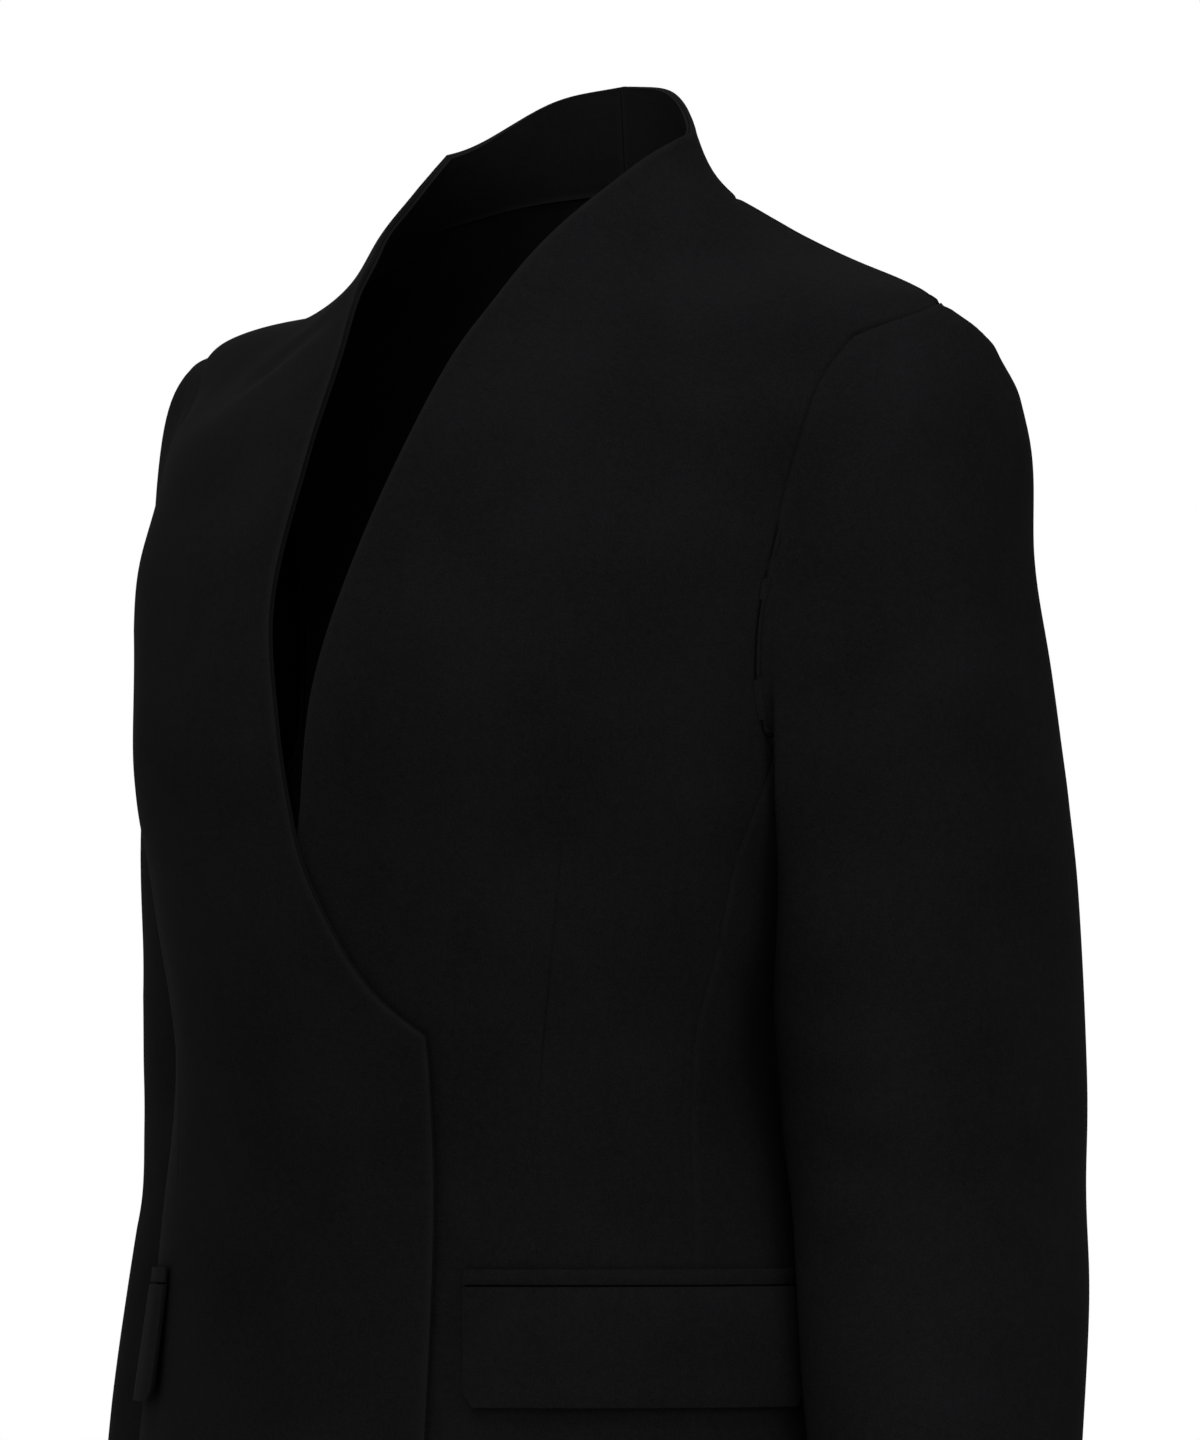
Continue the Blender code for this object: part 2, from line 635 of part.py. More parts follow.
def flowing(at, stations, values):
    """A natural cubic spline through rows of values."""
    step = np.diff(stations)
    count = len(stations)
    matrix = np.eye(count)
    right = np.zeros_like(values)
    for i in range(1, count - 1):
        matrix[i, i - 1 : i + 2] = (step[i - 1], 2 * (step[i - 1] + step[i]), step[i])
        ahead = (values[i + 1] - values[i]) / step[i]
        behind = (values[i] - values[i - 1]) / step[i - 1]
        right[i] = 6 * (ahead - behind)
    bend = np.linalg.solve(matrix, right)
    index = np.clip(np.searchsorted(stations, at, side="right") - 1, 0, count - 2)
    result = []
    for place, i in zip(at, index, strict=True):
        before, after, width = place - stations[i], stations[i + 1] - place, step[i]
        curved = (bend[i] * after**3 + bend[i + 1] * before**3) / (6 * width)
        straight = (values[i] / width - bend[i] * width / 6) * after
        straight = straight + (values[i + 1] / width - bend[i + 1] * width / 6) * before
        result.append(curved + straight)
    return np.array(result)


def sleeve_points(side):
    """Outer and inner points of a sleeve in rows from the armhole to the cuff, and each column's turn."""
    mirror = np.array((side, 1, 1))
    seam, away_from_panel, under_panel = (vectors * mirror for vectors in armhole_ring(side))
    turns = ring_turns(seam)
    rings = np.array([seam] + [sleeve_ring(turns, row) for row in SLEEVE_RINGS.tolist()])
    row_lengths = np.linalg.norm(np.diff(rings, axis=0), axis=-1).mean(axis=1)
    stations = np.concatenate([[0.0], np.cumsum(row_lengths)])
    share = np.linspace(0.0, 1.0, SLEEVE_ROWS + 1)
    rows = stations[-1] * ((1 - SLEEVE_ROW_CROWDING) * share + SLEEVE_ROW_CROWDING * share**2)
    points = flowing(rows, stations, rings.reshape(len(rings), -1)).reshape(len(rows), -1, 3)
    points[1:] = clear_of_body(points[1:])

    def outward(grid):
        round_it = np.roll(grid, -1, axis=1) - np.roll(grid, 1, axis=1)
        return unit(np.cross(round_it, np.gradient(grid, axis=0)))

    away = outward(points)
    for fold_side, fold_turn, fold_height, length, width, depth in SLEEVE_FOLDS:
        if fold_side == side:
            apart = (turns - fold_turn + 180) % 360 - 180
            around = np.radians(apart) * SLEEVE_GIRTH_RADIUS
            up = points[..., 2] - fold_height - SLEEVE_FOLD_SLANT * around
            out = depth * np.exp(-((around / length) ** 2) - (up / width) ** 2)
            out[0] = 0.0
            points = points + away * out[..., None]
    inner = points - outward(points) * CLOTH_WALL
    leaves = points[1] - points[0]
    bend = np.arctan2(-(leaves * under_panel).sum(axis=-1), (leaves * away_from_panel).sum(axis=-1))
    half = np.clip(bend, 0.0, np.pi)[:, None] / 2
    inner[0] = points[0] + (under_panel * np.cos(half) + away_from_panel * np.sin(half)) * CLOTH_WALL
    return points * mirror, inner * mirror, turns


def make_sleeve(side, name):
    """The two pieces of a sleeve, split along its front and hind-arm seams."""
    points, inner, turns = sleeve_points(side)
    first = int(np.argmin(abs(turns - UNDER_SLEEVE_FROM)))
    last = int(np.argmin(abs(turns - UNDER_SLEEVE_TO)))
    under = np.arange(first, last + 1)
    top = np.arange(last, first + len(turns) + 1) % len(turns)
    for piece, columns in (("sleeve_under_", under), ("sleeve_top_", top)):
        walls = []
        for layer in (points[:, columns], inner[:, columns]):
            layer[:, 0] += unit(layer[:, 1] - layer[:, 0]) * SLEEVE_SEAM_GAP / 2
            layer[:, -1] += unit(layer[:, -2] - layer[:, -1]) * SLEEVE_SEAM_GAP / 2
            walls.append(layer.reshape(-1, 3))
        index = np.arange(len(walls[0])).reshape(points.shape[0], len(columns))
        sew_wall(piece + name, walls[0], walls[1], faces_of(index), side > 0, crepe)


def pocket_row(side, height, start, length, count):
    """Places along the pocket at one height, a length measured round the body from its front end."""
    angles = np.arange(angle_at(POCKET_STARTS[side], height), POCKET_SEARCHED_TO, SEARCH_STEP)
    heights = np.full(angles.shape, height)
    steps = np.linalg.norm(np.diff(bare_body(angles, heights), axis=0), axis=1)
    round_it = np.concatenate([[0.0], np.cumsum(steps)])
    wanted = np.linspace(start, start + length, count + 1)
    return np.stack([np.interp(wanted, round_it, angles), np.full(count + 1, height)], axis=-1)


def make_pocket(side, name):
    """The flap, a little proud of the cloth at its lower edge, and the jet above its opening."""
    depths = (0.0, FLAP_DROP / 2, FLAP_DROP - FLAP_CORNER, FLAP_DROP)
    insets = (0.0, 0.0, 0.0, FLAP_CORNER_INSET)
    rows = []
    for depth, inset in zip(depths, insets, strict=True):
        start = inset + FLAP_LEAN * depth / FLAP_DROP
        length = POCKET_LENGTH - 2 * inset
        rows.append(pocket_row(side, FLAP_TOP_HEIGHT - depth, start, length, FLAP_COLUMNS))
    rows = np.array(rows)
    places = rows.reshape(-1, 2)
    index = np.arange(len(places)).reshape(rows.shape[:2])
    fall = (FLAP_TOP_HEIGHT - places[:, 1]) / FLAP_DROP
    under = FLAP_STAND_OFF[0] + (FLAP_STAND_OFF[1] - FLAP_STAND_OFF[0]) * fall
    inner = body_cloth(side, places[:, 0], places[:, 1], under)
    outer = body_cloth(side, places[:, 0], places[:, 1], under + FLAP_WALL)
    sew_wall("flap_" + name, outer, inner, faces_of(index), side < 0, crepe)

    heights = (FLAP_TOP_HEIGHT + JET_GAP + JET_HEIGHT, FLAP_TOP_HEIGHT + JET_GAP)
    rows = np.array([pocket_row(side, height, 0.0, POCKET_LENGTH, FLAP_COLUMNS) for height in heights])
    places = rows.reshape(-1, 2)
    index = np.arange(len(places)).reshape(rows.shape[:2])
    inner = body_cloth(side, places[:, 0], places[:, 1], JET_STAND_OFF)
    outer = body_cloth(side, places[:, 0], places[:, 1], JET_STAND_OFF + JET_WALL)
    sew_wall("jet_" + name, outer, inner, faces_of(index), side < 0, crepe)


for old in list(bpy.data.objects):
    bpy.data.objects.remove(old)
blazer = bpy.data.collections.new("collarless_blazer")
bpy.context.scene.collection.children.link(blazer)
held_here = bpy.data.objects.new("held_here", None)
blazer.objects.link(held_here)
crepe = cloth_material("black_crepe", BLACK_CREPE)
facing_cloth = cloth_material("black_facing", BLACK_FACING)

for side, name in ((1, "left"), (-1, "right")):
    make_front(side, name)
    make_side(side, name)
    make_back(side, name)
    make_sleeve(side, name)
    make_pocket(side, name)
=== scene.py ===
import math

import bmesh
import bpy
import numpy as np
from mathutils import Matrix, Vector, kdtree
from mathutils.geometry import intersect_point_line


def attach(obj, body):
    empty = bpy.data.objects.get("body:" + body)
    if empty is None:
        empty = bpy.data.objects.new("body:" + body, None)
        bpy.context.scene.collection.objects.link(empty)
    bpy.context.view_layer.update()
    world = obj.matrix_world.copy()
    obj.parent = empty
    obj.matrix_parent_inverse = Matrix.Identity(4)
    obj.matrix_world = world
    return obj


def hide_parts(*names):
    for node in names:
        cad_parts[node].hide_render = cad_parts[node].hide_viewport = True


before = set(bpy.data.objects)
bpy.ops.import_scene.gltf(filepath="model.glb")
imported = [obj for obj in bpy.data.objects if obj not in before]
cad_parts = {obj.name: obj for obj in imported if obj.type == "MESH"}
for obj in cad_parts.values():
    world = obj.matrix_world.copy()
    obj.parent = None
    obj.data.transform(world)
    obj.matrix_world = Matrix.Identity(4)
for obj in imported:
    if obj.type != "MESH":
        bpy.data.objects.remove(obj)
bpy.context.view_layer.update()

# The studio: a plain pale floor well below the jacket, which hangs in a white room. A long lens a little
# below the chest looks slightly up at it from the front left. The light is soft and comes mostly from
# above, so the side under the arm is dark.
MM = 0.001
VIEW_TURN = math.radians(39.0)
VIEW_DISTANCE = 4.5
VIEW_HEIGHT = -0.425
AIM_HEIGHT = -0.2207
AIM_ASIDE = 0.0489
LENS_MM = 264.4
SENSOR_MM = 36.0
FARTHEST_SEEN = 200.0
FLOOR_HEIGHT = -1.4
FLOOR_SIZE = 32.0
FLOOR_COLOUR = (0.93, 0.93, 0.93, 1.0)
FLOOR_ROUGHNESS = 0.9
WHITE = (1.0, 1.0, 1.0, 1.0)
ROOM_LIGHT = 0.34
LIT_PLACE = Vector((0.0, 0.0, -0.25))
SOFTBOXES = (
    # name, turn from the front, height, distance, width, power
    ("softbox_over", 20.0, 2.6, 0.9, 2.6, 64.0),
    ("softbox_front", 28.0, 0.6, 3.6, 2.0, 20.0),
    ("softbox_side", 92.0, 0.5, 3.2, 1.8, 20.0),
)

towards = Vector((math.sin(VIEW_TURN), -math.cos(VIEW_TURN), 0.0))
aside = Vector((math.cos(VIEW_TURN), math.sin(VIEW_TURN), 0.0))
camera = bpy.data.objects.new("camera", bpy.data.cameras.new("camera"))
bpy.context.scene.collection.objects.link(camera)
camera.location = towards * VIEW_DISTANCE + aside * AIM_ASIDE + Vector((0.0, 0.0, VIEW_HEIGHT))
aim = aside * AIM_ASIDE + Vector((0.0, 0.0, AIM_HEIGHT))
camera.rotation_euler = (aim - camera.location).to_track_quat("-Z", "Y").to_euler()
camera.data.lens = LENS_MM
camera.data.sensor_width = SENSOR_MM
camera.data.clip_end = FARTHEST_SEEN
bpy.context.scene.camera = camera
bpy.context.scene.view_settings.view_transform = "Standard"
bpy.context.scene.view_settings.look = "None"

for item in list(bpy.context.selected_objects):
    item.select_set(False)
bpy.ops.mesh.primitive_plane_add(size=FLOOR_SIZE, location=(0.0, 0.0, FLOOR_HEIGHT))
floor = bpy.context.active_object
floor.name = "studio_floor"
floor_paint = bpy.data.materials.new("studio_floor_paint")
floor_paint.use_nodes = True
floor_shader = floor_paint.node_tree.nodes["Principled BSDF"]
floor_shader.inputs["Base Color"].default_value = FLOOR_COLOUR
floor_shader.inputs["Roughness"].default_value = FLOOR_ROUGHNESS
floor.data.materials.append(floor_paint)

white_room = bpy.data.worlds.new("white_room")
white_room.use_nodes = True
bpy.context.scene.world = white_room
room_nodes, room_links = white_room.node_tree.nodes, white_room.node_tree.links
backdrop = room_nodes["Background"]
backdrop.inputs["Color"].default_value = WHITE
seen = room_nodes.new("ShaderNodeLightPath")
strength = room_nodes.new("ShaderNodeMapRange")
strength.inputs["To Min"].default_value = ROOM_LIGHT
strength.inputs["To Max"].default_value = 1.0
room_links.new(seen.outputs["Is Camera Ray"], strength.inputs["Value"])
room_links.new(strength.outputs["Result"], backdrop.inputs["Strength"])
for name, turn, height, distance, width, power in SOFTBOXES:
    lamp = bpy.data.lights.new(name, "AREA")
    lamp.size = width
    lamp.energy = power
    softbox = bpy.data.objects.new(name, lamp)
    bpy.context.scene.collection.objects.link(softbox)
    turn = math.radians(turn)
    softbox.location = (math.sin(turn) * distance, -math.cos(turn) * distance, height)
    softbox.rotation_euler = (LIT_PLACE - softbox.location).to_track_quat("-Z", "Y").to_euler()


# Left front: one piece of black crepe from the hem to the back of the neck, with its stand grown on. It is
# the under layer of the wrap. One long waist dart fits it, its free edge is turned in and pressed, and its
# other edges are sewn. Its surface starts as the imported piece's outer face, made smooth.
# A length that is multiplied by MM is in metres, as Blender's are, and the others are in millimetres.
CUT_EDGE = 2.25 * MM
SAME_PLACE = 0.01 * MM
SEWN_APART = 0.9 * MM
SEAM_REACH = 2.2
FLAT_PAIR = math.radians(60.0)
SHARP_TURN = math.radians(24.0)
SMOOTH_TURN = math.radians(50.0)
FINE = 3
EDGE_ROW = 0.8 * MM
SHELL_WALL = 1.6
BODY_MIDDLE = (0.0, 20 * MM)
ARM_MIDDLE = {"left": (186 * MM, 52 * MM), "right": (-186 * MM, 52 * MM)}
JACKET_PANELS = [
    start + "_" + side
    for start in ("front", "side", "back", "sleeve_top", "sleeve_under")
    for side in ("left", "right")
]
FRONT_PANELS = (JACKET_PANELS.index("front_left"), JACKET_PANELS.index("front_right"))
FIRST_SLEEVE = JACKET_PANELS.index("sleeve_top_left")


def outer_face(node):
    """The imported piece's outer side in quads: the side that faces away from the body or the arm."""
    middle = ARM_MIDDLE[node.split("_")[-1]] if "sleeve" in node else BODY_MIDDLE
    shape = bmesh.new()
    shape.from_mesh(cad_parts[node].data)
    bmesh.ops.remove_doubles(shape, verts=shape.verts, dist=SAME_PLACE)
    narrow = [face for face in shape.faces if min(edge.calc_length() for edge in face.edges) < CUT_EDGE]
    bmesh.ops.delete(shape, geom=narrow, context="FACES")
    layers, waiting = [], set(shape.faces)
    while waiting:
        layer, found = [], [waiting.pop()]
        while found:
            face = found.pop()
            layer.append(face)
            beyond = {other for edge in face.edges for other in edge.link_faces} & waiting
            waiting -= beyond
            found += beyond
        layers.append(layer)

    def looks_out(layer):
        total = 0.0
        for face in layer:
            centre = face.calc_center_median()
            away = Vector((centre.x - middle[0], centre.y - middle[1], 0.0)).normalized()
            total += face.calc_area() * face.normal.dot(away)
        return total

    outer = max(layers, key=looks_out)
    others = [face for layer in layers if layer is not outer for face in layer]
    bmesh.ops.delete(shape, geom=others, context="FACES")
    bmesh.ops.join_triangles(
        shape, faces=shape.faces, angle_face_threshold=FLAT_PAIR, angle_shape_threshold=math.pi
    )
    return shape


def match_seams(whole):
    """Where only one side of a seam has a point, gives the other side one too, so that both run alike."""
    lone = [point for point in whole.verts if point.is_boundary]
    lone = [point for point in lone if len({face.material_index for face in point.link_faces}) == 1]
    for point in lone:
        panel = point.link_faces[0].material_index
        found = []
        for edge in whole.edges:
            if edge.is_boundary and edge.link_faces[0].material_index != panel:
                start, end = [corner.co for corner in edge.verts]
                place, share = intersect_point_line(point.co, start, end)
                apart = (place - point.co).length
                if 0.0 < share < 1.0 and apart < SEAM_REACH * MM:
                    found.append((apart, edge, share))
        lapped = panel in FRONT_PANELS and point.co.y < 0.0
        if found and not lapped:
            _, edge, share = min(found, key=lambda item: item[0])
            added = bmesh.utils.edge_split(edge, edge.verts[0], share)[1]
            added.co = point.co
    rim = [point for point in whole.verts if point.is_boundary]
    bmesh.ops.remove_doubles(whole, verts=rim, dist=SAME_PLACE)


def sew_jacket():
    """All the panels' outer sides, joined along their seams. A face's material number is its panel's."""
    whole = bmesh.new()
    for number, panel in enumerate(JACKET_PANELS):
        part = outer_face(panel)
        for face in part.faces:
            face.material_index = number
        data = bpy.data.meshes.new(panel)
        part.to_mesh(data)
        part.free()
        whole.from_mesh(data)
        bpy.data.meshes.remove(data)
    edges = [point for point in whole.verts if point.is_boundary]
    bmesh.ops.remove_doubles(whole, verts=edges, dist=SEWN_APART)
    match_seams(whole)
    corner = whole.verts.layers.float.new("crease_vert")
    sewn = whole.verts.layers.float.new("sewn")
    for point in whole.verts:
        panels = {face.material_index for face in point.link_faces}
        if len(panels) > 1:
            point[sewn] = 1.0
        if len(panels) > 2 or (len(panels) > 1 and point.is_boundary):
            point[corner] = 1.0
        for panel in panels:
            rim = []
            for edge in point.link_edges:
                if sum(face.material_index == panel for face in edge.link_faces) == 1:
                    rim.append(edge.other_vert(point).co - point.co)
            if len(rim) == 2 and rim[0].angle(-rim[1]) > SHARP_TURN:
                point[corner] = 1.0
    return whole


def stretches(edges):
    """These edges as straight stretches, each by its two ends, in millimetres."""
    return np.array([[point.co / MM for point in edge.verts] for edge in edges])


EASED_ASIDE, EASED_ASIDE_FADE = 206 * MM, 18 * MM
EASED_DOWN_TO, EASED_DOWN_FADE = -350 * MM, 60 * MM
EASED_SHARE, EASING_PASSES = 0.6, 14


def ease_sleeves(whole):
    """Smooths the sleeves where they tuck under the arm, beside the body and above the elbow."""
    shares = {}
    for point in whole.verts:
        if not point.is_boundary and all(face.material_index >= FIRST_SLEEVE for face in point.link_faces):
            beside = (EASED_ASIDE - abs(point.co.x)) / EASED_ASIDE_FADE
            above = (point.co.z - EASED_DOWN_TO) / EASED_DOWN_FADE
            share = min(max(min(beside, above), 0.0), 1.0)
            if share > 0.0:
                shares[point] = EASED_SHARE * share
    for _ in range(EASING_PASSES):
        moved = {}
        for point, share in shares.items():
            around = [edge.other_vert(point).co for edge in point.link_edges]
            moved[point] = point.co.lerp(sum(around, Vector()) / len(around), share)
        for point, place in moved.items():
            point.co = place


def nearest_on(lines, places):
    """For each place, which of these stretches is nearest, how far along it, and how far away it is."""
    starts, runs = lines[:, 0], lines[:, 1] - lines[:, 0]
    no_length = 1e-9
    lengths = np.maximum((runs**2).sum(axis=1), no_length)
    which, along, gaps = [], [], []
    for place in places:
        share = np.clip(((place - starts) * runs).sum(axis=1) / lengths, 0.0, 1.0)
        apart = np.linalg.norm(starts + share[:, None] * runs - place, axis=1)
        nearest = apart.argmin()
        which.append(nearest)
        along.append(share[nearest])
        gaps.append(apart[nearest])
    return np.array(which), np.array(along), np.array(gaps)


def pick_only(piece):
    for item in list(bpy.context.selected_objects):
        item.select_set(False)
    bpy.context.view_layer.objects.active = piece
    piece.select_set(True)


def finish_modifier(piece, modifier):
    pick_only(piece)
    bpy.ops.object.modifier_apply(modifier=modifier.name)


def cut_out(node, name, fineness=FINE):
    """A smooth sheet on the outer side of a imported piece, with a narrow row of faces along its outline."""
    if node in JACKET_PANELS:
        shape = jacket.copy()
        others = [face for face in shape.faces if face.material_index != JACKET_PANELS.index(node)]
        bmesh.ops.delete(shape, geom=others, context="FACES")
        for face in shape.faces:
            face.material_index = 0
    else:
        shape = outer_face(node)
        corner = shape.verts.layers.float.new("crease_vert")
        for point in shape.verts:
            rim = [edge.other_vert(point).co - point.co for edge in point.link_edges if edge.is_boundary]
            if len(rim) == 2 and rim[0].angle(-rim[1]) > SHARP_TURN:
                point[corner] = 1.0
    data = bpy.data.meshes.new(name)
    shape.to_mesh(data)
    shape.free()
    piece = bpy.data.objects.new(name, data)
    bpy.context.scene.collection.objects.link(piece)
    modifier = piece.modifiers.new("smooth_cloth", "SUBSURF")
    modifier.levels = fineness
    modifier.render_levels = fineness
    modifier.boundary_smooth = "PRESERVE_CORNERS"
    finish_modifier(piece, modifier)
    shape = bmesh.new()
    shape.from_mesh(piece.data)
    bmesh.ops.inset_region(
        shape, faces=shape.faces, thickness=EDGE_ROW, use_boundary=True, use_even_offset=True
    )
    shape.to_mesh(piece.data)
    shape.free()
    return piece


def places_of(piece):
    """The piece's points and the way each one faces, in millimetres."""
    count = len(piece.data.vertices)
    places, facing = np.empty(count * 3), np.empty(count * 3)
    piece.data.vertices.foreach_get("co", places)
    piece.data.vertex_normals.foreach_get("vector", facing)
    return places.reshape(-1, 3) / MM, facing.reshape(-1, 3)


def move_to(piece, places):
    piece.data.vertices.foreach_set("co", (places * MM).reshape(-1))
    piece.data.update()


def bell(apart, middle, half_width):
    """1 at this distance from something, falling softly to nothing on both sides."""
    return np.exp(-(((apart - middle) / half_width) ** 2))


FOLD_FADE = 0.7
FOLD_ENDS = 0.02
RIDGE_HEIGHT, RIDGE_PLACE, RIDGE_WIDTH = 0.38, 1.75, 0.8


def crease(piece, folds):
    """Soft troughs in the cloth, each with a low ridge on both sides and fading out at its ends."""
    places, facing = places_of(piece)
    out = np.zeros(len(places))
    for start, end, half_width, depth in folds:
        start, end = np.array(start, float), np.array(end, float)
        run = end - start
        share = np.clip((places - start) @ run / (run @ run), 0.0, 1.0)
        apart = np.linalg.norm(places - start - share[:, None] * run, axis=1) / half_width
        strength = np.sin(np.pi * np.clip(share, FOLD_ENDS, 1.0 - FOLD_ENDS)) ** FOLD_FADE
        trough = bell(apart, 0.0, 1.0) - RIDGE_HEIGHT * bell(apart, RIDGE_PLACE, RIDGE_WIDTH)
        out -= depth * strength * trough
    move_to(piece, places + facing * out[:, None])


DART_HALF_WIDTH, DART_DEPTH = 0.8, 0.75
DART_PAST_END = 0.02
DART_CUT_REACH = 9.0 * MM
DART_PULL_REACH = 12.0 * MM
DART_FADE = 0.4
EXACT_CUT = 0.001 * MM


def sew_dart(piece, start, end):
    """A dart's stitching line: three close cuts along it, of which the middle one is drawn in."""
    start, end = Vector(start) * MM, Vector(end) * MM
    run = end - start
    shape = bmesh.new()
    shape.from_mesh(piece.data)
    shape.normal_update()

    def share_of(place):
        return (place - start).dot(run) / run.length_squared

    def apart_of(place):
        return (place - start - run * share_of(place)).length

    middle = min(shape.faces, key=lambda face: (face.calc_center_median() - (start + end) / 2).length)
    sideways = run.cross(middle.normal).normalized()
    for offset in (-DART_HALF_WIDTH, 0.0, DART_HALF_WIDTH):
        near = []
        for face in shape.faces:
            centre = face.calc_center_median()
            if -DART_PAST_END < share_of(centre) < 1.0 + DART_PAST_END and apart_of(centre) < DART_CUT_REACH:
                near.append(face)
        parts = {edge for face in near for edge in face.edges}
        parts |= {point for face in near for point in face.verts}
        place = start + sideways * offset * MM
        bmesh.ops.bisect_plane(
            shape, geom=near + list(parts), dist=EXACT_CUT, plane_co=place, plane_no=sideways
        )
    shape.normal_update()
    for point in shape.verts:
        share = share_of(point.co)
        on_line = abs((point.co - start).dot(sideways)) < SAME_PLACE
        if 0.0 < share < 1.0 and on_line and apart_of(point.co) < DART_PULL_REACH:
            point.co -= point.normal * DART_DEPTH * MM * math.sin(math.pi * share) ** DART_FADE
    shape.to_mesh(piece.data)
    shape.free()


jacket = sew_jacket()
ease_sleeves(jacket)
sewn_flat, sewn_pressed = [], []
SEWN_MARK = 0.98
FAR_OFF = 1e3
SEAM_WIDTH = 1.1
ROLL_PLACE, ROLL_WIDTH = 6.0, 4.0
ROLL_FADE_DOWN_TO, ROLL_FADE = -175.0, 90.0
ROLLED_EDGE = (
    # distance from the edge, half width, height as a share of how far the edge is turned in
    (0.0, 0.9, -1.0),
    (2.6, 1.5, 0.25),
    (5.4, 1.2, -0.2),
)
# Painted sheen: a lighter colour along the free edges and, more faintly, beside the seams, standing in for
# light caught on the rolled and pressed edges. The same mask also makes the cloth there a little less rough.
EDGE_PAINTED_SHEEN, EDGE_PAINTED_SHEEN_WIDTH = 0.4, 2.4
SEAM_PAINTED_SHEEN, SEAM_PAINTED_SHEEN_PLACE, SEAM_PAINTED_SHEEN_WIDTH = 0.1, 1.5, 1.6


def press_and_sew(piece, node, roped=0.0, turned_in=0.45, sunk=0.8):
    """Presses the seams into the cloth, rolls its free edges, and closes it up to what is sewn already."""
    places, facing = places_of(piece)
    shape = bmesh.new()
    shape.from_mesh(piece.data)
    outline = np.array([point.index for point in shape.verts if point.is_boundary])
    sewn = np.zeros(len(outline), bool)
    if node in JACKET_PANELS:
        marked = shape.verts.layers.float["sewn"]
        shape.verts.ensure_lookup_table()
        sewn = np.array([shape.verts[index][marked] > SEWN_MARK for index in outline])
        outline_flat = stretches([edge for edge in shape.edges if edge.is_boundary])
    shape.free()

    def apart_from(line):
        if not len(line):
            return np.full(len(places), FAR_OFF)
        tree = kdtree.KDTree(len(line))
        for index, place in enumerate(line):
            tree.insert(place, index)
        tree.balance()
        return np.array([tree.find(place)[2] for place in places])

    from_seam, from_edge = apart_from(places[outline[sewn]]), apart_from(places[outline[~sewn]])
    out = -sunk * bell(from_seam, 0.0, SEAM_WIDTH)
    full_head = np.clip((places[:, 2] - ROLL_FADE_DOWN_TO) / ROLL_FADE, 0.0, 1.0)
    out += roped * full_head * bell(from_seam, ROLL_PLACE, ROLL_WIDTH)
    for from_rim, half_width, height in ROLLED_EDGE:
        out += height * turned_in * bell(from_edge, from_rim, half_width)
    pressed_places = places + facing * out[:, None]
    if sewn_flat and sewn.any():
        which, along, gaps = nearest_on(np.concatenate(sewn_flat), places[outline])
        beside = np.concatenate(sewn_pressed)[which]
        joined = beside[:, 0] + along[:, None] * (beside[:, 1] - beside[:, 0])
        close = sewn & (gaps < SEAM_REACH)
        pressed_places[outline[close]] = joined[close]
    move_to(piece, pressed_places)
    # Marks where the painted sheen goes: the crepe's colour is lifted to a painted highlight along the edges
    # and seams, and its roughness is lowered there.
    press_and_sheen_attribute = piece.data.attributes.new("pressed_edge_painted_sheen", "FLOAT", "POINT")
    painted_sheen = EDGE_PAINTED_SHEEN * bell(from_edge, 0.0, EDGE_PAINTED_SHEEN_WIDTH)
    painted_sheen += SEAM_PAINTED_SHEEN * bell(from_seam, SEAM_PAINTED_SHEEN_PLACE, SEAM_PAINTED_SHEEN_WIDTH)
    press_and_sheen_attribute.data.foreach_set("value", np.clip(painted_sheen, 0.0, 1.0))
    if node in JACKET_PANELS:
        shape = bmesh.new()
        shape.from_mesh(piece.data)
        sewn_flat.append(outline_flat)
        sewn_pressed.append(stretches([edge for edge in shape.edges if edge.is_boundary]))
        shape.free()


def give_wall(piece, wall):
    """Turns the sheet into cloth of this thickness, inwards from its outer face."""
    modifier = piece.modifiers.new("wall", "SOLIDIFY")
    modifier.thickness = wall * MM
    modifier.offset = -1.0
    modifier.use_even_offset = False
    modifier.use_rim = True
    finish_modifier(piece, modifier)
    pick_only(piece)
    bpy.ops.object.shade_smooth_by_angle(angle=SMOOTH_TURN)


GRAIN, SLUB, SHADE = (1400.0, 3.0), (320.0, 2.0), (16.0, 3.0)  # each one's scale and detail
SLUB_IN_HEIGHT = 0.4
SHADE_IN_TONE, SLUB_IN_TONE = 0.6, 0.3
DARKEST_TONE, LIGHTEST_TONE = 0.65, 1.25
LEAST_ROUGH, MOST_ROUGH = 0.84, 0.98
PRESSED_ROUGHNESS = -0.12


